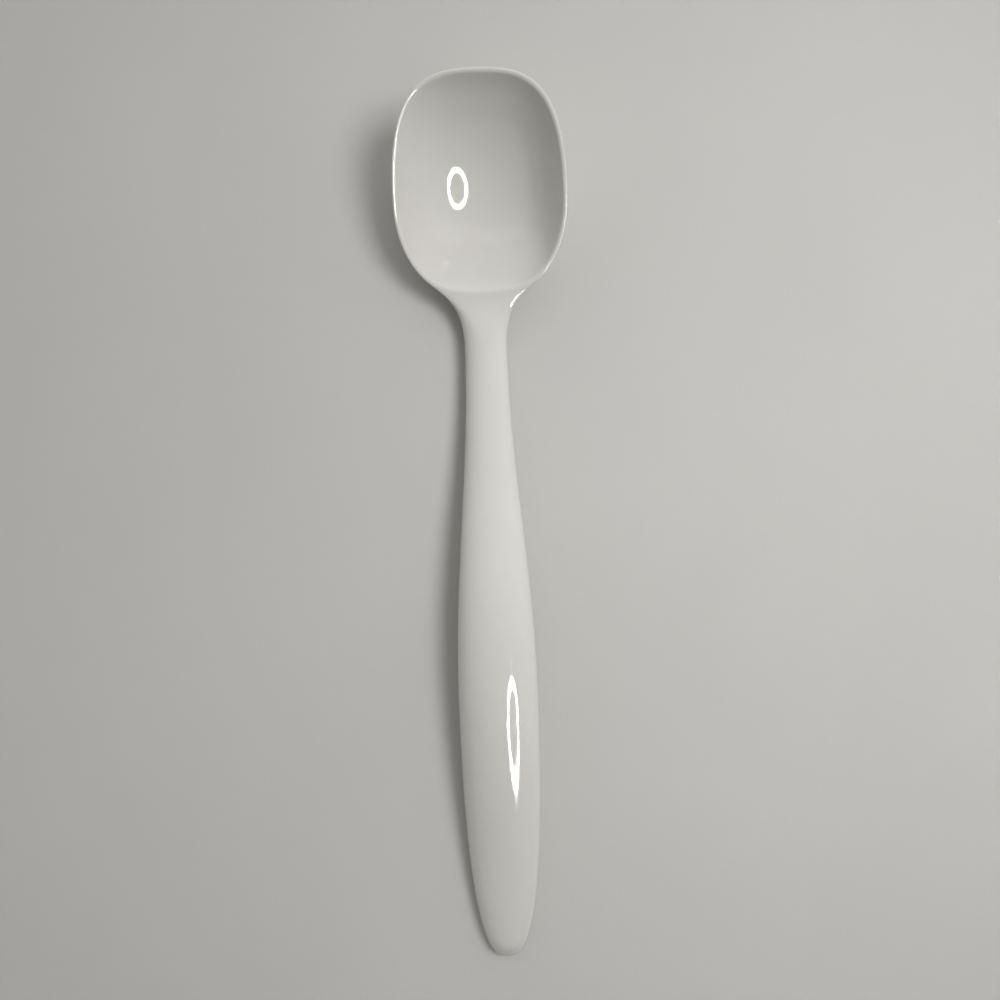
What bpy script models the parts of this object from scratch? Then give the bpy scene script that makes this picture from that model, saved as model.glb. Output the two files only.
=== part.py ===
# Serving spoon: one glossy white moulding, modelled as a bowl, a neck and a handle.
# Metres, +Z up. +Y runs from the handle end to the bowl tip.
# The spoon lies on a table, resting on the heel of its bowl and on its handle end.
import math

import bpy

# Whole spoon
overall_length = 0.300
seam_gap = 0.0003            # clearance where two modelled pieces meet
foot_depth = 0.0006          # how much is taken off for the flats that touch the table

# Bowl, measured in the plane of its rim
bowl_width = 0.0584
bowl_front_reach = 0.0404    # widest line to the tip
bowl_rear_reach = 0.0305     # widest line to the back of the rim
bowl_depth = 0.0191          # rim to the inside floor
floor_thickness = 0.0024
lip_thickness = 0.0015
rear_lip_thickness = 0.0030  # the broader round where the neck's top rolls into the bowl
rear_roll_share = 0.12       # how much higher the lip stands for its extra breadth
bowl_tilt_degrees = 22       # front of the rim raised above the back
rim_front_exponent = 2.86    # how square the rim's ends are, where 2 is an ellipse
rim_rear_exponent = 2.43
front_fullness_share = 0.14  # extra width towards the front corners
floor_side_share = 0.52      # part of the depth in the gentle floor; the rest is a steep wall at the rim
floor_front_share = 0.58     # the same at the front
floor_rear_share = 1.14      # and at the back, where more than 1 rolls over towards the neck
floor_blend = 0.020          # length behind the widest line where the one floor blends into the other
wall_exponent = 7            # how closely the steep wall keeps to the rim

# Handle
handle_width = 0.0276
handle_thickness = 0.0164
handle_end_thickness = 0.0076
handle_end_exponent = 2.65
nose_length = 0.008          # rounding of the thickness at the very end
handle_rise = 0.006          # highest clearance under the arched handle
handle_rest_length = 0.025   # part of the underside that lies along the table

# Neck
neck_width = 0.0149
neck_thickness = 0.0094
neck_top_drop = 0.0005       # neck top below the crest of the lip
section_exponent = 2.05      # of the stem, where 2 is an ellipse

# Places along the stem, as shares of the way from the handle end to the back of the rim
widest_share = 0.403         # widest and thickest place of the handle
rise_share = 0.571           # highest place of the arched underside
joint_share = 0.790          # where the handle piece meets the neck piece
neck_share = 0.925           # narrowest place of the neck

# Patch of the bowl's back that the neck flares into
patch_turn_degrees = 34          # half its width, as a turn about the bowl
patch_bottom_share = 0.72        # how far it goes down, 1 is the rim, 0 is the middle of the floor
flare_leaving_share = 0.52       # part of the flare that keeps to the neck's direction
flare_landing_share = 0.36       # part of the flare that follows the bowl

# Mesh density
bowl_column_count = 64
section_point_count = 40

# Sizes that follow from the ones above
half_bowl = bowl_width / 2
bowl_tilt = math.radians(bowl_tilt_degrees)
patch_turn = math.radians(patch_turn_degrees)
outer_depth = bowl_depth + floor_thickness
rim_middle_y = overall_length - bowl_front_reach * math.cos(bowl_tilt)
stem_length = rim_middle_y - bowl_rear_reach * math.cos(bowl_tilt)
handle_widest_at = stem_length * widest_share
handle_rise_at = stem_length * rise_share
neck_joint_at = stem_length * joint_share
neck_at = stem_length * neck_share
front_bend = floor_front_share / bowl_front_reach ** 2
rear_bend = floor_rear_share / bowl_rear_reach ** 2
rear_lip_radius = rear_lip_thickness / 2
rear_lip_crown = lip_thickness / 2 + rear_roll_share * (rear_lip_thickness - lip_thickness)
crest_rise = math.hypot(rear_lip_radius * math.sin(bowl_tilt), rear_lip_crown * math.cos(bowl_tilt))


def clear_scene():
    for item in list(bpy.data.objects):
        bpy.data.objects.remove(item, do_unlink=True)


def signed_power(value, exponent):
    return math.copysign(abs(value) ** exponent, value)


def ease(fraction):
    clamped = min(max(fraction, 0.0), 1.0)
    return 0.5 - 0.5 * math.cos(math.pi * clamped)


def rim_shares(turn):
    # How far the rim lies sideways, as a share of half the width, and along, as a share of its reach
    sine = math.sin(turn)
    exponent = 2 / (rim_front_exponent if sine > 0 else rim_rear_exponent)
    fullness = 1 + front_fullness_share * max(sine, 0.0) ** 2
    return fullness * signed_power(math.cos(turn), exponent), sine


def rim_reach(turn):
    return bowl_front_reach if math.sin(turn) > 0 else bowl_rear_reach


def floor_rise(turn, t):
    # Height of the gentle floor as a share of the depth; turn goes round the rim, t from the middle to the rim
    sideways, forwards = rim_shares(turn)
    along = rim_reach(turn) * forwards * t
    frontness = ease(1 + along / floor_blend)
    bend = rear_bend + (front_bend - rear_bend) * frontness
    return floor_side_share * (sideways * t) ** 2 + bend * along ** 2


def dish_rise(turn, t):
    # The steep wall makes up the rest of the depth at the rim
    return floor_rise(turn, t) + (1 - floor_rise(turn, 1.0)) * t ** wall_exponent


def heel_drop():
    # Rim's widest line down to the lowest place of the tilted back
    drops = []
    for step in range(401):
        t = step / 400
        below = outer_depth * (1 - dish_rise(-math.pi / 2, t))
        drops.append(t * bowl_rear_reach * math.sin(bowl_tilt) + below * math.cos(bowl_tilt))
    return max(drops)


def settle(point):
    # Moves the middle of the length to the origin and flattens what would sink into the table
    x, y, z = point
    return (x, y - overall_length / 2, max(z, 0.0))


def dish_point(turn, t, grow, depth):
    # Point of a dish that hangs from the tilted rim plane
    sideways, forwards = rim_shares(turn)
    across = (half_bowl + grow) * sideways
    along = (rim_reach(turn) + grow) * forwards
    return tilted(across * t, along * t, depth * (dish_rise(turn, t) - 1))


def tilted(across, along, up):
    y = rim_middle_y + along * math.cos(bowl_tilt) - up * math.sin(bowl_tilt)
    z = rim_middle_z + along * math.sin(bowl_tilt) + up * math.cos(bowl_tilt)
    return (across, y, z)


def lip_width(turn):
    # The lip is broader at the back, where the neck runs into it
    from_back = math.acos(min(max(-math.sin(turn), -1.0), 1.0))
    backness = 1 - ease(from_back / (1.4 * patch_turn))
    return lip_thickness + (rear_lip_thickness - lip_thickness) * backness


def lip_crown(turn):
    return lip_thickness / 2 + rear_roll_share * (lip_width(turn) - lip_thickness)


def lip_point(turn, swing, grow):
    # The lip is half an oval from the outside edge of the rim (swing 0) to the inside edge (swing pi)
    lip_radius = lip_width(turn) / 2
    outwards = (lip_radius + grow) * math.cos(swing) - lip_radius
    crown = (lip_crown(turn) + grow) * math.sin(swing)
    x, y, z = dish_point(turn, 1.0, outwards, 0.0)
    return (x, y - crown * math.sin(bowl_tilt), z + crown * math.cos(bowl_tilt))


def stem_half_width(y):
    if y <= handle_widest_at:
        back = (handle_widest_at - y) / handle_widest_at
        fullness = max(1 - back ** handle_end_exponent, 0.0) ** (1 / handle_end_exponent)
        return handle_width / 2 * fullness
    along = (y - handle_widest_at) / (neck_at - handle_widest_at)
    taper = ease(along)
    return (handle_width + (neck_width - handle_width) * taper) / 2


def stem_half_thickness(y):
    if y <= handle_widest_at:
        swell = math.sin(math.pi / 2 * y / handle_widest_at)
        return (handle_end_thickness + (handle_thickness - handle_end_thickness) * swell) / 2
    along = (y - handle_widest_at) / (neck_at - handle_widest_at)
    taper = ease(along)
    return (handle_thickness + (neck_thickness - handle_thickness) * taper) / 2


def stem_underside(y):
    if y <= handle_rise_at:
        lift = ease((y - handle_rest_length) / (handle_rise_at - handle_rest_length))
        return handle_rise * lift - foot_depth * (1 - lift)
    fall = ease((y - handle_rise_at) / (neck_at - handle_rise_at))
    return handle_rise + (neck_clearance - handle_rise) * fall


def stem_section(y):
    half_width = stem_half_width(y)
    full_thickness = stem_half_thickness(y)
    middle = stem_underside(y) + full_thickness
    back = max(1 - y / nose_length, 0.0)
    half_thickness = full_thickness * math.sqrt(1 - back * back)
    exponent = 2 / section_exponent
    loop = []
    for step in range(section_point_count):
        turn = 2 * math.pi * step / section_point_count
        x = half_width * signed_power(math.cos(turn), exponent)
        z = middle + half_thickness * signed_power(math.sin(turn), exponent)
        loop.append((x, y, z))
    return loop


def patch_point(step, scale):
    # Point on the back of the bowl, a seam gap clear of it; scale 1 is the edge of the patch
    turn = 2 * math.pi * step / section_point_count
    sideways = signed_power(math.cos(turn), 0.8) * scale
    upwards = signed_power(math.sin(turn), 0.8) * scale
    about = -math.pi / 2 + patch_turn * sideways
    if upwards > 0:
        lean = lip_width(about) / 2 * math.sin(bowl_tilt)
        crest = math.pi / 2 + math.atan2(lean, lip_crown(about) * math.cos(bowl_tilt))
        return lip_point(about, crest * upwards, seam_gap)
    t = 1 + (1 - patch_bottom_share) * upwards
    return dish_point(about, t, seam_gap, outer_depth + seam_gap)


def flare_line(step, start):
    # Curve from the neck to the edge of the patch, leaving along the neck and landing along the bowl
    end = patch_point(step, 1.0)
    beyond = patch_point(step, 1.04)
    inside = patch_point(step, 0.0)
    length = math.dist(start, end)
    slide = [b - a for a, b in zip(end, beyond)]
    slide_length = math.sqrt(sum(value * value for value in slide))
    inwards = [a - b for a, b in zip(inside, start)]
    inwards_length = math.sqrt(sum(value * value for value in inwards))
    landing = [0.9 * s / slide_length + 0.1 * i / inwards_length for s, i in zip(slide, inwards)]
    first = (start[0], start[1] + flare_leaving_share * length, start[2])
    second = tuple(a - flare_landing_share * length * d for a, d in zip(end, landing))
    return (start, first, second, end)


def curve_point(line, s):
    weights = ((1 - s) ** 3, 3 * s * (1 - s) ** 2, 3 * s * s * (1 - s), s ** 3)
    return tuple(sum(w * p[axis] for w, p in zip(weights, line)) for axis in range(3))


def skin_between(loops, hubs):
    # Quads between successive loops of equal count, with a fan over each end
    # A fan meets in its hub, or in the middle of its loop where no hub is given
    count = len(loops[0])
    points = [point for loop in loops for point in loop]
    faces = []
    for row in range(len(loops) - 1):
        for step in range(count):
            after = (step + 1) % count
            faces.append((row * count + step, row * count + after,
                          (row + 1) * count + after, (row + 1) * count + step))
    for row, given, outward in ((0, hubs[0], -1), (len(loops) - 1, hubs[1], 1)):
        middle = tuple(sum(p[axis] for p in loops[row]) / count for axis in range(3))
        points.append(given or middle)
        hub = len(points) - 1
        for step in range(count):
            edge = (row * count + step, row * count + (step + 1) % count)
            faces.append((hub,) + (edge if outward > 0 else edge[::-1]))
    return points, faces


def add_piece(name, loops, material, turned=False, hubs=(None, None)):
    points, faces = skin_between(loops, hubs)
    if turned:
        faces = [face[::-1] for face in faces]
    mesh = bpy.data.meshes.new(name)
    mesh.from_pydata([settle(point) for point in points], [], faces)
    mesh.validate()
    mesh.materials.append(material)
    piece = bpy.data.objects.new(name, mesh)
    bpy.context.scene.collection.objects.link(piece)
    return piece


def white_melamine():
    material = bpy.data.materials.new("white_melamine")
    material.use_nodes = True
    shader = material.node_tree.nodes["Principled BSDF"]
    shader.inputs["Base Color"].default_value = (0.83, 0.83, 0.80, 1.0)
    shader.inputs["Roughness"].default_value = 0.12
    return material


def make_bowl(material):
    turns = [2 * math.pi * step / bowl_column_count for step in range(bowl_column_count)]
    spread = [0.1, 0.22, 0.34, 0.46, 0.57, 0.67, 0.76, 0.84, 0.90, 0.945, 0.98]
    loops = [[dish_point(turn, t, 0.0, outer_depth) for turn in turns] for t in spread]
    for swing in (0.0, 0.1, 0.23, 0.41, 0.59, 0.77, 0.9, 1.0):
        loops.append([lip_point(turn, swing * math.pi, 0.0) for turn in turns])
    for t in reversed(spread):
        loops.append([dish_point(turn, t, -lip_width(turn), bowl_depth) for turn in turns])
    return add_piece("bowl", loops, material)


def make_neck(material):
    start = neck_joint_at + seam_gap / 2
    straight = 5
    loops = []
    for step in range(straight + 1):
        loops.append(stem_section(start + (neck_at - start) * step / straight))
    lines = [flare_line(step, point) for step, point in enumerate(loops[-1])]
    for s in (0.15, 0.3, 0.45, 0.6, 0.73, 0.84, 0.93, 1.0):
        loops.append([curve_point(line, s) for line in lines])
    for scale in (0.8, 0.6, 0.4, 0.2):
        loops.append([patch_point(step, scale) for step in range(section_point_count)])
    return add_piece("neck", loops, material, turned=True, hubs=(None, patch_point(0, 0.0)))


def make_handle(material):
    end = neck_joint_at - seam_gap / 2
    stations = [nose_length * (1 - math.cos(math.pi / 2 * step / 6)) for step in range(1, 7)]
    body = 22
    for step in range(1, body + 1):
        stations.append(nose_length + (end - nose_length) * step / body)
    tip = (0.0, 0.0, stem_underside(0.0) + stem_half_thickness(0.0))
    loops = [stem_section(y) for y in stations]
    return add_piece("handle", loops, material, turned=True, hubs=(tip, None))


# Heights that follow from the lowest place of the bowl
rim_middle_z = heel_drop() - foot_depth
lip_back_z = rim_middle_z - (bowl_rear_reach - rear_lip_radius) * math.sin(bowl_tilt)
neck_clearance = lip_back_z + crest_rise - neck_top_drop - neck_thickness

clear_scene()
melamine = white_melamine()
make_bowl(melamine)
make_neck(melamine)
make_handle(melamine)
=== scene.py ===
import math

import bpy
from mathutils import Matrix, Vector


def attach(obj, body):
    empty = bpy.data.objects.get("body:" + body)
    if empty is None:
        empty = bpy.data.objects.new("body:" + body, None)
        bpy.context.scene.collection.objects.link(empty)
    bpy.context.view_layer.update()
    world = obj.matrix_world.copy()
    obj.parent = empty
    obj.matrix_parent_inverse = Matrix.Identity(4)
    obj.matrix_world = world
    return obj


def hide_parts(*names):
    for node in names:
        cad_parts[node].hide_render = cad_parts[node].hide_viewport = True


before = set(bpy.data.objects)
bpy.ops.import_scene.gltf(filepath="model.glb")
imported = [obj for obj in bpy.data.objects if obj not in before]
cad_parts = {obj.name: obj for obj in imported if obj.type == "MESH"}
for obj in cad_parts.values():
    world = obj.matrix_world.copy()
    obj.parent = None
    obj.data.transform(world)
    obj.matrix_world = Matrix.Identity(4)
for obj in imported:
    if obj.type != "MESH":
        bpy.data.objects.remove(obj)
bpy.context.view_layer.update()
print("frame loaded:", sorted(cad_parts))

nodesInRow = 24             # how the node trees are laid out
nodeSpacing = (190, 240)


class Field:
    # a node socket that can stand in a sum, so the formulas read as plain maths
    def __init__(self, tree, socket):
        self.tree = tree
        self.socket = socket

    def calc(self, operation, *others):
        return calc(self.tree, operation, self, *others)

    def __add__(self, other):
        return self.calc("ADD", other)

    def __radd__(self, other):
        return self.calc("ADD", other)

    def __sub__(self, other):
        return self.calc("SUBTRACT", other)

    def __rsub__(self, other):
        return calc(self.tree, "SUBTRACT", other, self)

    def __mul__(self, other):
        return self.calc("MULTIPLY", other)

    def __rmul__(self, other):
        return self.calc("MULTIPLY", other)

    def __truediv__(self, other):
        return self.calc("DIVIDE", other)

    def __rtruediv__(self, other):
        return calc(self.tree, "DIVIDE", other, self)

    def __pow__(self, other):
        return self.calc("POWER", other)


def addNode(tree, kind, **settings):
    node = tree.nodes.new(kind)
    down, right = divmod(len(tree.nodes), nodesInRow)
    node.location = (right * nodeSpacing[0], -down * nodeSpacing[1])
    for name, value in settings.items():
        setattr(node, name, value)
    return node


def plug(tree, value, target):
    if isinstance(value, Field):
        tree.links.new(value.socket, target)
    elif isinstance(value, bpy.types.NodeSocket):
        tree.links.new(value, target)
    else:
        target.default_value = value


def calc(tree, operation, *values):
    node = addNode(tree, "ShaderNodeMath", operation=operation)
    for slot, value in enumerate(values):
        plug(tree, value, node.inputs[slot])
    return Field(tree, node.outputs[0])


def choose(tree, test, yes, no):
    node = addNode(tree, "GeometryNodeSwitch", input_type="VECTOR")
    plug(tree, test, node.inputs["Switch"])
    plug(tree, no, node.inputs["False"])
    plug(tree, yes, node.inputs["True"])
    return node.outputs["Output"]


def combine(tree, x, y, z):
    node = addNode(tree, "ShaderNodeCombineXYZ")
    for slot, value in enumerate((x, y, z)):
        plug(tree, value, node.inputs[slot])
    return node.outputs[0]


def separate(tree, vector):
    node = addNode(tree, "ShaderNodeSeparateXYZ")
    tree.links.new(vector, node.inputs[0])
    return [Field(tree, output) for output in node.outputs]


def signedPower(value, exponent):
    size = value.calc("ABSOLUTE") ** exponent
    return size * value.calc("SIGN")


def atLeast(value, limit):
    return value.calc("MAXIMUM", limit)


def atMost(value, limit):
    return value.calc("MINIMUM", limit)


def ease(fraction):
    clamped = atMost(atLeast(fraction, 0.0), 1.0)
    return 0.5 - (clamped * math.pi).calc("COSINE") * 0.5


def bezier(a, b, c, d, s):
    r = 1 - s
    return a * (r * r * r) + b * (s * r * r * 3) + c * (s * s * r * 3) + d * (s * s * s)


def lengthOf(vector):
    x, y, z = vector
    return (x * x + y * y + z * z).calc("SQRT")


# sizes of the spoon, in metres, the same ones as in the solids
spoonSizes = {
    "Length": 0.300,
    "Foot Depth": 0.0006,             # taken off where it touches the table
    "Bowl Width": 0.0584,
    "Front Reach": 0.0404,            # widest line to the tip, in the plane of the rim
    "Rear Reach": 0.0305,
    "Bowl Depth": 0.0191,
    "Floor Thickness": 0.0024,
    "Lip Thickness": 0.0015,
    "Rear Lip Thickness": 0.0030,     # where the neck's top rolls into the bowl
    "Rear Roll Share": 0.12,          # how much higher the lip stands for its extra breadth
    "Lip Fullness": 0.66,             # how far the round of the lip stands up
    "Rear Lip Softness": 0.45,        # how gently the broad part falls into the bowl
    "Rear Lip Spread": 1.4,           # how far it reaches round, in half widths of the neck's patch
    "Bowl Tilt": math.radians(22),
    "Front Exponent": 2.86,           # squareness of the rim's ends, 2 is an ellipse
    "Rear Exponent": 2.43,
    "Front Fullness": 0.14,           # extra width towards the front corners
    "Floor Side Share": 0.52,         # part of the depth in the gentle floor, the rest is a steep wall
    "Floor Front Share": 0.58,
    "Floor Rear Share": 1.14,         # more than 1 rolls over towards the neck
    "Floor Blend": 0.020,             # behind the widest line, where the one floor blends into the other
    "Wall Exponent": 7.0,
    "Handle Width": 0.0276,
    "Handle Thickness": 0.0164,
    "Handle End Thickness": 0.0076,
    "Handle End Exponent": 2.65,
    "Nose Length": 0.008,
    "Handle Rise": 0.006,
    "Handle Rest Length": 0.025,
    "Neck Width": 0.0149,
    "Neck Thickness": 0.0094,
    "Neck Top Drop": 0.0005,
    "Section Exponent": 2.05,
    "Widest Share": 0.403,            # places along the stem, from the handle end to the back of the rim
    "Rise Share": 0.571,
    "Neck Share": 0.925,
    "Patch Turn": math.radians(34),   # half the width of the place where the neck runs into the bowl
    "Patch Bottom": 0.72,
    "Patch Top": 0.70,                # how far over the lip the neck runs
    "Patch Exponent": 2.4,            # 2 is an oval patch, more is squarer
    "Patch Fade": 1.2,                # how far round the patch the rows of the bowl give way
    "Flare Leaving": 0.52,
    "Flare Landing": 0.36,
    "Foot Softness": 0.0005,
}
spoonMesh = {
    "columns": 168,       # round the bowl
    "dishRows": 60,       # floor to rim, inside and outside alike
    "lipRows": 16,
    "flareRows": 30,
    "stemRows": 110,
    "heelSteps": 400,     # tried in finding the lowest place
    "nudgeTurn": 0.004,   # short steps over the bowl, which show how its skin runs on
    "nudgeRun": 0.002,
    "mergeDistance": 1e-5,
}
bowlRows = 2 * spoonMesh["dishRows"] + spoonMesh["lipRows"]
lipStart = spoonMesh["dishRows"] / bowlRows     # the lip's part of the way from under the bowl to inside it
lipEnd = 1 - lipStart


def bowlPoint(size, turn, run):
    # turn goes round the bowl, run from the middle underneath over the lip to the middle inside
    tree = turn.tree
    along = turn.calc("SINE")
    ahead = along.calc("GREATER_THAN", 0.0)

    def byEnd(front, rear):
        return size[rear] + (size[front] - size[rear]) * ahead

    reach = byEnd("Front Reach", "Rear Reach")
    across = signedPower(turn.calc("COSINE"), 2 / byEnd("Front Exponent", "Rear Exponent"))
    across = across * (1 + size["Front Fullness"] * along * along * ahead)
    frontBend = size["Floor Front Share"] / (size["Front Reach"] * size["Front Reach"])
    rearBend = size["Floor Rear Share"] / (size["Rear Reach"] * size["Rear Reach"])
    wallPower = size["Wall Exponent"]
    outerDepth = size["Bowl Depth"] + size["Floor Thickness"]

    def floorRise(t):
        # height of the gentle floor, as a share of the depth
        x = across * t
        y = reach * along * t
        bend = rearBend + (frontBend - rearBend) * ease(1 + y / size["Floor Blend"])
        return size["Floor Side Share"] * x * x + bend * y * y

    rimRise = floorRise(1.0)

    def rimPoint(grow):
        return (size["Bowl Width"] / 2 + grow) * across, (reach + grow) * along, 0.0

    def dish(grow, depth, t):
        # a point of the dish, below the plane of the rim
        x, y, _ = rimPoint(grow)
        return x * t, y * t, (floorRise(t) + (t ** wallPower) * (1 - rimRise) - 1) * depth

    def wallHandle(grow, depth, length):
        # the way the wall points where it reaches the rim, as long as the lip's round needs
        x, y, _ = rimPoint(grow)
        wall = (x, y, depth * (rimRise * 2 + wallPower * (1 - rimRise)))
        pull = length / lengthOf(wall)
        return [axis * pull for axis in wall]

    fromBack = atMost(atLeast(along * -1, -1.0), 1.0).calc("ARCCOSINE")
    extra = size["Rear Lip Thickness"] - size["Lip Thickness"]
    broad = extra * (1 - ease(fromBack / (size["Patch Turn"] * size["Rear Lip Spread"])))
    inset = (size["Lip Thickness"] + broad) * -1
    stand = size["Lip Thickness"] * size["Lip Fullness"]
    outside = dish(0.0, outerDepth, atMost(run / lipStart, 1.0))
    inside = dish(inset, size["Bowl Depth"], atMost((1 - run) / lipStart, 1.0))
    swing = atMost(atLeast((run - lipStart) / (lipEnd - lipStart), 0.0), 1.0)
    leaving = wallHandle(0.0, outerDepth, stand)
    landing = wallHandle(inset, size["Bowl Depth"], stand + broad * size["Rear Lip Softness"])
    lip = [bezier(a, a + p, b + q, b, swing)
           for a, p, q, b in zip(rimPoint(0.0), leaving, landing, rimPoint(inset))]
    flat = choose(tree, run.calc("GREATER_THAN", lipEnd), combine(tree, *inside), combine(tree, *lip))
    flat = choose(tree, run.calc("LESS_THAN", lipStart), combine(tree, *outside), flat)
    x, y, z = separate(tree, flat)
    cosTilt = size["Bowl Tilt"].calc("COSINE")
    sinTilt = size["Bowl Tilt"].calc("SINE")
    return (x, size["Rim Y"] + y * cosTilt - z * sinTilt, size["Rim Z"] + y * sinTilt + z * cosTilt)


def findHeelDrop():
    # from the rim's widest line down to the lowest place of the tilted back
    size = spoonSizes
    reach, blend, share = size["Rear Reach"], size["Floor Blend"], size["Floor Rear Share"]
    rearBend = share / reach ** 2
    frontBend = size["Floor Front Share"] / size["Front Reach"] ** 2
    depth = size["Bowl Depth"] + size["Floor Thickness"]
    lowest = 0.0
    for step in range(spoonMesh["heelSteps"] + 1):
        t = step / spoonMesh["heelSteps"]
        part = max(1 - reach * t / blend, 0.0)
        bend = rearBend + (frontBend - rearBend) * (0.5 - 0.5 * math.cos(math.pi * part))
        rise = bend * (reach * t) ** 2 + (1 - share) * t ** size["Wall Exponent"]
        drop = t * reach * math.sin(size["Bowl Tilt"]) + depth * (1 - rise) * math.cos(size["Bowl Tilt"])
        lowest = max(lowest, drop)
    return lowest


def addDerivedSizes(size):
    # what follows from the driving sizes
    cosTilt = size["Bowl Tilt"].calc("COSINE")
    sinTilt = size["Bowl Tilt"].calc("SINE")
    size["Rim Y"] = size["Length"] - size["Front Reach"] * cosTilt
    size["Rim Z"] = size["Heel Drop"] - size["Foot Depth"]
    stem = size["Rim Y"] - size["Rear Reach"] * cosTilt
    size["Widest At"] = stem * size["Widest Share"]
    size["Rise At"] = stem * size["Rise Share"]
    size["Neck At"] = stem * size["Neck Share"]
    rearRadius = size["Rear Lip Thickness"] / 2
    fall = rearRadius * sinTilt
    extra = size["Rear Lip Thickness"] - size["Lip Thickness"]
    crown = (size["Lip Thickness"] / 2 + size["Rear Roll Share"] * extra) * cosTilt
    roll = (fall * fall + crown * crown).calc("SQRT")
    crest = size["Rim Z"] - (size["Rear Reach"] - rearRadius) * sinTilt + roll
    size["Neck Clearance"] = crest - size["Neck Top Drop"] - size["Neck Thickness"]


def stemSection(size, y):
    # half the width, half the thickness and the middle height of the handle or neck at y
    back = atLeast((size["Widest At"] - y) / size["Widest At"], 0.0)
    endExponent = size["Handle End Exponent"]
    fullness = atLeast(1 - back ** endExponent, 0.0) ** (1 / endExponent)
    ahead = atLeast((y - size["Widest At"]) / (size["Neck At"] - size["Widest At"]), 0.0)
    taper = ease(ahead)
    halfWidth = fullness * (size["Handle Width"] + (size["Neck Width"] - size["Handle Width"]) * taper) / 2
    swell = (atMost(y / size["Widest At"], 1.0) * (math.pi / 2)).calc("SINE")
    endThickness = size["Handle End Thickness"]
    thickness = (endThickness + (size["Handle Thickness"] - endThickness) * swell
                 + (size["Neck Thickness"] - size["Handle Thickness"]) * taper)
    lift = ease((y - size["Handle Rest Length"]) / (size["Rise At"] - size["Handle Rest Length"]))
    fall = ease((y - size["Rise At"]) / (size["Neck At"] - size["Rise At"]))
    underside = (size["Handle Rise"] * lift - size["Foot Depth"] * (1 - lift)
                 + (size["Neck Clearance"] - size["Handle Rise"]) * fall)
    nose = atLeast(1 - y / size["Nose Length"], 0.0)
    rounded = (1 - nose * nose).calc("SQRT")
    return halfWidth, thickness / 2 * rounded, underside + thickness / 2


def storeValue(tree, geometry, name, value, kind="FLOAT"):
    node = addNode(tree, "GeometryNodeStoreNamedAttribute", data_type=kind, domain="POINT")
    tree.links.new(geometry, node.inputs["Geometry"])
    node.inputs["Name"].default_value = name
    plug(tree, value, node.inputs["Value"])
    return node.outputs["Geometry"]


def readValue(tree, name, kind="FLOAT"):
    node = addNode(tree, "GeometryNodeInputNamedAttribute", data_type=kind)
    node.inputs["Name"].default_value = name
    output = node.outputs["Attribute"]
    return Field(tree, output) if kind == "FLOAT" else output


def movePoints(tree, geometry, place):
    node = addNode(tree, "GeometryNodeSetPosition")
    tree.links.new(geometry, node.inputs["Geometry"])
    tree.links.new(place, node.inputs["Position"])
    return node


def mergePoints(tree, geometry):
    node = addNode(tree, "GeometryNodeMergeByDistance")
    node.inputs["Distance"].default_value = spoonMesh["mergeDistance"]
    tree.links.new(geometry, node.inputs["Geometry"])
    return node.outputs["Geometry"]


def bowlGrid(tree, size):
    # a sheet of columns and rows, wrapped round into a closed shell
    grid = addNode(tree, "GeometryNodeMeshGrid")
    grid.inputs["Size X"].default_value = 1.0
    grid.inputs["Size Y"].default_value = 1.0
    grid.inputs["Vertices X"].default_value = spoonMesh["columns"] + 1
    grid.inputs["Vertices Y"].default_value = bowlRows + 1
    position = addNode(tree, "GeometryNodeInputPosition")
    u, v, _ = separate(tree, position.outputs[0])
    geometry, turn, run = roundPatch(tree, grid.outputs["Mesh"], size, (u + 0.5) * (2 * math.pi), v + 0.5)
    return movePoints(tree, geometry, combine(tree, *bowlPoint(size, turn, run))).outputs["Geometry"]


def roundPatch(tree, geometry, size, turn, run):
    # places each point across and up the neck's patch, where 1 is its edge, and rounds off its corners
    back = 1.5 * math.pi
    top = size["Patch Top"] * (lipEnd - lipStart)
    bottom = (1 - size["Patch Bottom"]) * lipStart
    sideways = (turn - back) / size["Patch Turn"]
    level = run - lipStart
    above = level.calc("GREATER_THAN", 0.0)
    upwards = level / (bottom + (top - bottom) * above)
    geometry = storeValue(tree, geometry, "sideways", sideways)
    geometry = storeValue(tree, geometry, "upwards", upwards)
    sideways = readValue(tree, "sideways")
    upwards = readValue(tree, "upwards")
    wide = sideways.calc("ABSOLUTE")
    tall = upwards.calc("ABSOLUTE")
    square = atLeast(wide.calc("MAXIMUM", tall), 0.01)     # never 0, so it can be divided by
    power = size["Patch Exponent"]
    rounding = ((wide / square) ** power + (tall / square) ** power) ** (-1 / power)
    fade = 1 - ease((square - 1) / size["Patch Fade"])
    draw = 1 + (rounding - 1) * fade
    geometry = storeValue(tree, geometry, "across", sideways * draw)
    geometry = storeValue(tree, geometry, "up", upwards * draw)
    across = readValue(tree, "across")
    up = readValue(tree, "up")
    above = up.calc("GREATER_THAN", 0.0)
    geometry = storeValue(tree, geometry, "turn", across * size["Patch Turn"] + back)
    geometry = storeValue(tree, geometry, "run", up * (bottom + (top - bottom) * above) + lipStart)
    return geometry, readValue(tree, "turn"), readValue(tree, "run")


def cutPatch(tree, geometry):
    # takes out the faces that the neck runs into, then closes the seam and the poles
    within = readValue(tree, "sideways").calc("ABSOLUTE").calc("LESS_THAN", 1.0)
    within = within * readValue(tree, "upwards").calc("ABSOLUTE").calc("LESS_THAN", 1.0)
    cut = addNode(tree, "GeometryNodeDeleteGeometry", domain="FACE", mode="ALL")
    tree.links.new(geometry, cut.inputs["Geometry"])
    plug(tree, within, cut.inputs["Selection"])
    return mergePoints(tree, cut.outputs["Geometry"])


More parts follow.
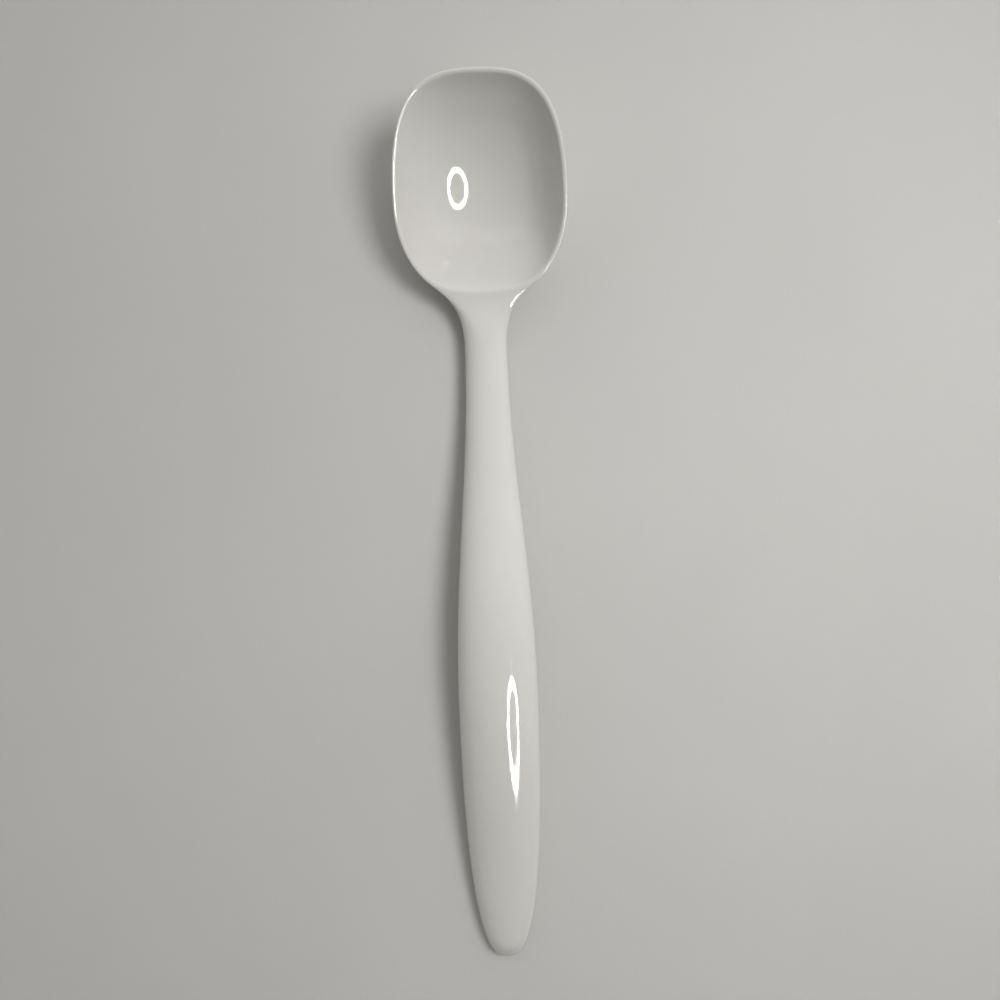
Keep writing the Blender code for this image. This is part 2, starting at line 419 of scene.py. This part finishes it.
def storeFlare(tree, geometry, size):
    # each point round the cut keeps the curve that leads from the neck to it
    sideways = readValue(tree, "across")
    upwards = readValue(tree, "up")
    angle = upwards.calc("ARCTAN2", sideways)
    power = 2 / size["Section Exponent"]
    halfWidth, halfThickness, middle = stemSection(size, size["Neck At"])
    geometry = storeValue(tree, geometry, "sectionX", signedPower(angle.calc("COSINE"), power))
    geometry = storeValue(tree, geometry, "sectionZ", signedPower(angle.calc("SINE"), power))
    position = addNode(tree, "GeometryNodeInputPosition")
    landing = separate(tree, position.outputs[0])
    start = (readValue(tree, "sectionX") * halfWidth, size["Neck At"],
             middle + readValue(tree, "sectionZ") * halfThickness)
    edge = size["Patch Exponent"] - 1
    stepTurn = signedPower(sideways, edge) * spoonMesh["nudgeTurn"]
    stepRun = signedPower(upwards, edge) * spoonMesh["nudgeRun"]
    beyond = bowlPoint(size, readValue(tree, "turn") + stepTurn, readValue(tree, "run") + stepRun)
    slide = [b - a for a, b in zip(landing, beyond)]
    reach = lengthOf([a - b for a, b in zip(landing, start)])
    pull = reach * size["Flare Landing"] / lengthOf(slide)
    first = (start[0], start[1] + reach * size["Flare Leaving"], start[2])
    second = [a - axis * pull for a, axis in zip(landing, slide)]
    for name, vector in (("flareStart", start), ("flareFirst", first), ("flareSecond", second),
                         ("flareLanding", landing)):
        geometry = storeValue(tree, geometry, name, combine(tree, *vector), "FLOAT_VECTOR")
    return geometry


def pullStem(tree, geometry, size):
    # draws the open edge out row by row, along the flare and then along the stem to the handle's end
    flareRows = spoonMesh["flareRows"]
    stemRows = spoonMesh["stemRows"]
    repeatIn = addNode(tree, "GeometryNodeRepeatInput")
    repeatOut = addNode(tree, "GeometryNodeRepeatOutput")
    repeatIn.pair_with_output(repeatOut)
    repeatIn.inputs["Iterations"].default_value = flareRows + stemRows
    tree.links.new(geometry, repeatIn.inputs["Geometry"])
    row = Field(tree, repeatIn.outputs["Iteration"]) + 1

    neighbours = addNode(tree, "GeometryNodeInputMeshEdgeNeighbors")
    openEdge = Field(tree, neighbours.outputs["Face Count"]).calc("LESS_THAN", 1.5)     # one face
    extrude = addNode(tree, "GeometryNodeExtrudeMesh", mode="EDGES")
    tree.links.new(repeatIn.outputs["Geometry"], extrude.inputs["Mesh"])
    plug(tree, openEdge, extrude.inputs["Selection"])
    extrude.inputs["Offset Scale"].default_value = 0.0

    along = atLeast(1 - row / flareRows, 0.0)
    corners = [separate(tree, readValue(tree, name, "FLOAT_VECTOR"))
               for name in ("flareStart", "flareFirst", "flareSecond", "flareLanding")]
    flare = [bezier(*points, along) for points in zip(*corners)]
    left = 1 - atLeast((row - flareRows) / stemRows, 0.0)
    y = size["Neck At"] * (1 - (left * (math.pi / 2)).calc("COSINE"))
    halfWidth, halfThickness, middle = stemSection(size, y)
    stem = (readValue(tree, "sectionX") * halfWidth, y,
            middle + readValue(tree, "sectionZ") * halfThickness)
    onFlare = row.calc("LESS_THAN", flareRows + 0.5)
    place = choose(tree, onFlare, combine(tree, *flare), combine(tree, *stem))
    move = movePoints(tree, extrude.outputs["Mesh"], place)
    tree.links.new(extrude.outputs["Top"], move.inputs["Selection"])
    tree.links.new(move.outputs["Geometry"], repeatOut.inputs["Geometry"])
    return repeatOut.outputs["Geometry"]


def settle(tree, geometry, size):
    # middle of the length to the origin, and the flats that lie on the table
    position = addNode(tree, "GeometryNodeInputPosition")
    x, y, z = separate(tree, position.outputs[0])
    rested = z.calc("SMOOTH_MAX", 0.0, size["Foot Softness"])
    move = movePoints(tree, geometry, combine(tree, x, y - size["Length"] / 2, rested))
    return mergePoints(tree, move.outputs["Geometry"])


def makeSpoonTree(sizes):
    tree = bpy.data.node_groups.new("spoonForm", "GeometryNodeTree")
    tree.interface.new_socket("Geometry", in_out="OUTPUT", socket_type="NodeSocketGeometry")
    for name, value in sizes.items():
        socket = tree.interface.new_socket(name, in_out="INPUT", socket_type="NodeSocketFloat")
        socket.default_value = value
    tree.interface.new_socket("Material", in_out="INPUT", socket_type="NodeSocketMaterial")
    entry = addNode(tree, "NodeGroupInput")
    size = {name: Field(tree, entry.outputs[name]) for name in sizes}
    addDerivedSizes(size)
    geometry = bowlGrid(tree, size)
    geometry = cutPatch(tree, geometry)
    geometry = storeFlare(tree, geometry, size)
    geometry = pullStem(tree, geometry, size)
    geometry = settle(tree, geometry, size)
    smooth = addNode(tree, "GeometryNodeSetShadeSmooth")
    tree.links.new(geometry, smooth.inputs["Geometry"])
    realize = addNode(tree, "GeometryNodeRealizeInstances")
    tree.links.new(smooth.outputs["Geometry"], realize.inputs["Geometry"])
    paint = addNode(tree, "GeometryNodeSetMaterial")
    tree.links.new(realize.outputs["Geometry"], paint.inputs["Geometry"])
    tree.links.new(entry.outputs["Material"], paint.inputs["Material"])
    leave = addNode(tree, "NodeGroupOutput")
    tree.links.new(paint.outputs["Geometry"], leave.inputs["Geometry"])
    return tree


def socketId(tree, name):
    return next(item.identifier for item in tree.interface.items_tree
                if item.item_type == "SOCKET" and item.in_out == "INPUT" and item.name == name)


def makeSpoon(material):
    sizes = {**spoonSizes, "Heel Drop": findHeelDrop()}
    tree = makeSpoonTree(sizes)
    blank = bpy.data.objects.new("spoonBlank", bpy.data.meshes.new("spoonBlank"))
    bpy.context.scene.collection.objects.link(blank)
    former = blank.modifiers.new("form", "NODES")
    former.node_group = tree
    for name, value in sizes.items():
        former[socketId(tree, name)] = value
    former[socketId(tree, "Material")] = material
    shaped = blank.evaluated_get(bpy.context.evaluated_depsgraph_get())
    mesh = bpy.data.meshes.new_from_object(shaped)
    mesh.name = "spoon"
    bpy.data.objects.remove(blank)
    spoon = bpy.data.objects.new("spoon", mesh)
    bpy.context.scene.collection.objects.link(spoon)
    print("spoon formed:", len(mesh.vertices), "points,", len(mesh.polygons), "faces")
    return spoon


def objectPlace(tree, stretch=(1.0, 1.0, 1.0)):
    # where a point is on the piece, drawn out to make long marks
    coords = addNode(tree, "ShaderNodeTexCoord")
    mapping = addNode(tree, "ShaderNodeMapping")
    tree.links.new(coords.outputs["Object"], mapping.inputs["Vector"])
    mapping.inputs["Scale"].default_value = stretch
    return mapping.outputs["Vector"]


def noise(tree, place, scale, detail=2.0, roughness=0.5):
    node = addNode(tree, "ShaderNodeTexNoise")
    tree.links.new(place, node.inputs["Vector"])
    plug(tree, scale, node.inputs["Scale"])
    node.inputs["Detail"].default_value = detail
    node.inputs["Roughness"].default_value = roughness
    return Field(tree, node.outputs["Fac"])


def spread(value, low, high):
    # 0 at low, 1 at high
    return atMost(atLeast((value - low) / (high - low), 0.0), 1.0)


def blendColour(tree, share, first, second):
    node = addNode(tree, "ShaderNodeMix", data_type="RGBA")
    plug(tree, share, node.inputs[0])
    plug(tree, first, node.inputs[6])
    plug(tree, second, node.inputs[7])
    return node.outputs[2]


mottleDetail = {
    "blotch": 3.0,
    "grain": 4.0,
    "grainRoughness": 0.6,
}


def makeMottleGroup():
    # soft blotches with a finer grain in them, for any material
    tree = bpy.data.node_groups.new("softMottle", "ShaderNodeTree")
    for name in ("Blotch Scale", "Grain Scale", "Grain Share"):
        tree.interface.new_socket(name, in_out="INPUT", socket_type="NodeSocketFloat")
    tree.interface.new_socket("Mask", in_out="OUTPUT", socket_type="NodeSocketFloat")
    entry = addNode(tree, "NodeGroupInput")
    place = objectPlace(tree)
    fine = mottleDetail
    blotch = noise(tree, place, entry.outputs["Blotch Scale"], fine["blotch"])
    grain = noise(tree, place, entry.outputs["Grain Scale"], fine["grain"], fine["grainRoughness"])
    share = Field(tree, entry.outputs["Grain Share"])
    leave = addNode(tree, "NodeGroupOutput")
    plug(tree, blotch * (1 - share) + grain * share, leave.inputs["Mask"])
    return tree


def mottle(tree, group, look):
    node = addNode(tree, "ShaderNodeGroup", node_tree=group)
    node.inputs["Blotch Scale"].default_value = look["blotchScale"]
    node.inputs["Grain Scale"].default_value = look["grainScale"]
    node.inputs["Grain Share"].default_value = look["grainShare"]
    return spread(Field(tree, node.outputs["Mask"]), look["blotchFrom"], look["blotchTo"])


def newMaterial(name):
    material = bpy.data.materials.new(name)
    material.use_nodes = True
    return material, material.node_tree, material.node_tree.nodes["Principled BSDF"]


scratchLook = {
    "lengthwise": {"stretch": (1.0, 0.06, 1.0), "scale": 420.0, "width": 0.012},
    "crosswise": {"stretch": (0.10, 1.0, 1.0), "scale": 300.0, "width": 0.010},
    "detail": 3.0,
    "unevenness": 0.6,
    "patchScale": 60.0,         # the hairlines come in patches
    "patchDetail": 1.0,
    "patchFrom": 0.52,
    "patchTo": 0.68,
}


def scratches(tree, line):
    # fine hairlines left by use
    look = scratchLook
    place = objectPlace(tree, line["stretch"])
    waves = noise(tree, place, line["scale"], look["detail"], look["unevenness"])
    patches = noise(tree, objectPlace(tree), look["patchScale"], look["patchDetail"])
    hairline = spread((waves - 0.5).calc("ABSOLUTE"), line["width"], 0.0)
    return hairline * spread(patches, look["patchFrom"], look["patchTo"])


melamineLook = {
    "colour": (0.752, 0.740, 0.703, 1.0),
    "warmColour": (0.730, 0.714, 0.668, 1.0),     # faint blotches in the resin
    "blotchScale": 34.0,
    "blotchFrom": 0.40,
    "blotchTo": 0.66,
    "grainScale": 900.0,
    "grainShare": 0.25,
    "speckColour": (0.36, 0.34, 0.30, 1.0),
    "speckScale": 95.0,
    "speckSize": 0.035,         # radius, as a share of the spacing
    "speckShare": 0.03,         # of the places that have one
    "ior": 1.56,
    "roughness": 0.04,
    "roughnessWorn": 0.07,
    "roughnessScratched": 0.04,     # added along the hairlines
    "wearScale": 26.0,
    "wearDetail": 3.0,
    "wearFrom": 0.45,
    "wearTo": 0.75,
    "ripple": 0.01,             # slight waviness of the moulded surface
    "rippleScale": 90.0,
    "rippleDetail": 1.0,
    "scratchDepth": 0.02,
    "bumpStrength": 0.25,
    "bumpDistance": 0.0006,
}


def specks(tree):
    # a few tiny dark spots
    look = melamineLook
    cells = addNode(tree, "ShaderNodeTexVoronoi")
    tree.links.new(objectPlace(tree), cells.inputs["Vector"])
    cells.inputs["Scale"].default_value = look["speckScale"]
    near = Field(tree, cells.outputs["Distance"])
    pick = separate(tree, cells.outputs["Color"])[0]
    return near.calc("LESS_THAN", look["speckSize"]) * pick.calc("LESS_THAN", look["speckShare"])


def makeMelamine(mottleGroup):
    look = melamineLook
    material, tree, shader = newMaterial("whiteMelamine")
    shader.inputs["IOR"].default_value = look["ior"]

    colour = blendColour(tree, mottle(tree, mottleGroup, look), look["colour"], look["warmColour"])
    plug(tree, blendColour(tree, specks(tree), colour, look["speckColour"]), shader.inputs["Base Color"])

    lengthwise = scratches(tree, scratchLook["lengthwise"])
    marks = lengthwise.calc("MAXIMUM", scratches(tree, scratchLook["crosswise"]))
    wear = noise(tree, objectPlace(tree), look["wearScale"], look["wearDetail"])
    wear = spread(wear, look["wearFrom"], look["wearTo"]) * (look["roughnessWorn"] - look["roughness"])
    plug(tree, look["roughness"] + wear + marks * look["roughnessScratched"], shader.inputs["Roughness"])

    ripple = noise(tree, objectPlace(tree), look["rippleScale"], look["rippleDetail"]) * look["ripple"]
    bump = addNode(tree, "ShaderNodeBump")
    bump.inputs["Strength"].default_value = look["bumpStrength"]
    bump.inputs["Distance"].default_value = look["bumpDistance"]
    plug(tree, ripple - marks * look["scratchDepth"], bump.inputs["Height"])
    tree.links.new(bump.outputs["Normal"], shader.inputs["Normal"])
    return material


floorLook = {
    "halfSize": 5.0,
    "colour": (0.635, 0.626, 0.602, 1.0),
    "tint": (0.610, 0.600, 0.577, 1.0),
    "blotchScale": 9.0,
    "blotchFrom": 0.38,
    "blotchTo": 0.64,
    "grainScale": 1500.0,
    "grainShare": 0.45,
    "roughness": 0.75,
}


def makeTableTop(mottleGroup):
    look = floorLook
    material, tree, shader = newMaterial("paleTable")
    colour = blendColour(tree, mottle(tree, mottleGroup, look), look["colour"], look["tint"])
    tree.links.new(colour, shader.inputs["Base Color"])
    shader.inputs["Roughness"].default_value = look["roughness"]
    return material


def makeFloor(material):
    half = floorLook["halfSize"]
    corners = [(-half, -half, 0), (half, -half, 0), (half, half, 0), (-half, half, 0)]
    mesh = bpy.data.meshes.new("floor")
    mesh.from_pydata(corners, [], [(0, 1, 2, 3)])
    mesh.materials.append(material)
    floor = bpy.data.objects.new("floor", mesh)
    bpy.context.scene.collection.objects.link(floor)


cameraSetup = {
    "place": (0.0030, 0.0136, 0.2733),   # straight above the spoon
    "turn": math.radians(-2.1),
    "lens": 27.05,
    "sensor": 36.0,
    "clipStart": 0.01,
}


def makeCamera():
    data = bpy.data.cameras.new("camera")
    data.lens = cameraSetup["lens"]
    data.sensor_width = cameraSetup["sensor"]
    data.clip_start = cameraSetup["clipStart"]
    camera = bpy.data.objects.new("camera", data)
    camera.location = cameraSetup["place"]
    camera.rotation_euler = (0.0, 0.0, cameraSetup["turn"])
    bpy.context.scene.collection.objects.link(camera)
    bpy.context.scene.camera = camera


lightSetup = {
    "skyColour": (1.0, 1.0, 0.985, 1.0),
    "skyStrength": 0.338,
    "skyLean": (0.20, 1.40, 0.0),       # the side that the soft light comes from
    "skyLeast": 0.04,                   # what is left of it on the other side
    "backdropColour": (0.56, 0.56, 0.55, 1.0),
    "ringToward": (0.46, -0.60, 1.0),   # ring lamp overhead, seen as a loop in the gloss
    "ringRadius": 0.152,                # radians, as seen from the spoon
    "ringWidth": 0.038,
    "ringSoftness": 0.12,               # of its edges, as a share of the width
    "ringStrength": 5.0,
    "ringGloss": 75.0,                  # how bright the gloss shows it, for crisp lines along the lip
    "keyPlace": (0.235, 0.08, 0.46),
    "keySize": 0.21,
    "keyPower": 1.28,
}


def dot(tree, vector, other):
    node = addNode(tree, "ShaderNodeVectorMath", operation="DOT_PRODUCT")
    tree.links.new(vector, node.inputs[0])
    node.inputs[1].default_value = other
    return Field(tree, node.outputs["Value"])


def makeSky():
    look = lightSetup
    world = bpy.data.worlds.new("studio")
    world.use_nodes = True
    tree = world.node_tree
    coords = addNode(tree, "ShaderNodeTexCoord")
    toward = coords.outputs["Generated"]
    soft = look["skyStrength"] * atLeast(1 + dot(tree, toward, look["skyLean"]), look["skyLeast"])
    apart = dot(tree, toward, Vector(look["ringToward"]).normalized()).calc("ARCCOSINE")
    offBand = (apart - look["ringRadius"]).calc("ABSOLUTE")
    seen = addNode(tree, "ShaderNodeLightPath")
    inGloss = Field(tree, seen.outputs["Is Glossy Ray"])
    strength = look["ringStrength"] + inGloss * (look["ringGloss"] - look["ringStrength"])
    outer = look["ringWidth"] * (0.5 + look["ringSoftness"])
    inner = look["ringWidth"] * (0.5 - look["ringSoftness"])
    ring = spread(offBand, outer, inner) * strength
    sky = tree.nodes["Background"]
    sky.inputs["Color"].default_value = look["skyColour"]
    plug(tree, soft + ring, sky.inputs["Strength"])
    backdrop = addNode(tree, "ShaderNodeBackground")
    backdrop.inputs["Color"].default_value = look["backdropColour"]
    mix = addNode(tree, "ShaderNodeMixShader")
    tree.links.new(seen.outputs["Is Camera Ray"], mix.inputs[0])
    tree.links.new(sky.outputs[0], mix.inputs[1])
    tree.links.new(backdrop.outputs[0], mix.inputs[2])
    tree.links.new(mix.outputs[0], tree.nodes["World Output"].inputs["Surface"])
    bpy.context.scene.world = world


def makeKey():
    data = bpy.data.lights.new("key", "AREA")
    data.shape = "DISK"
    data.size = lightSetup["keySize"]
    data.energy = lightSetup["keyPower"]
    key = bpy.data.objects.new("key", data)
    key.location = lightSetup["keyPlace"]
    key.rotation_euler = (-key.location).to_track_quat("-Z", "Y").to_euler()     # towards the origin
    key.visible_glossy = False       # the ring alone shows in the gloss
    bpy.context.scene.collection.objects.link(key)


makeCamera()
print("camera placed")
mottleGroup = makeMottleGroup()
spoon = makeSpoon(makeMelamine(mottleGroup))
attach(spoon, "root")
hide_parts("bowl", "neck", "handle")
makeFloor(makeTableTop(mottleGroup))
makeSky()
makeKey()
print("floor and lights placed")

bpy.context.scene.view_settings.view_transform = "Standard"
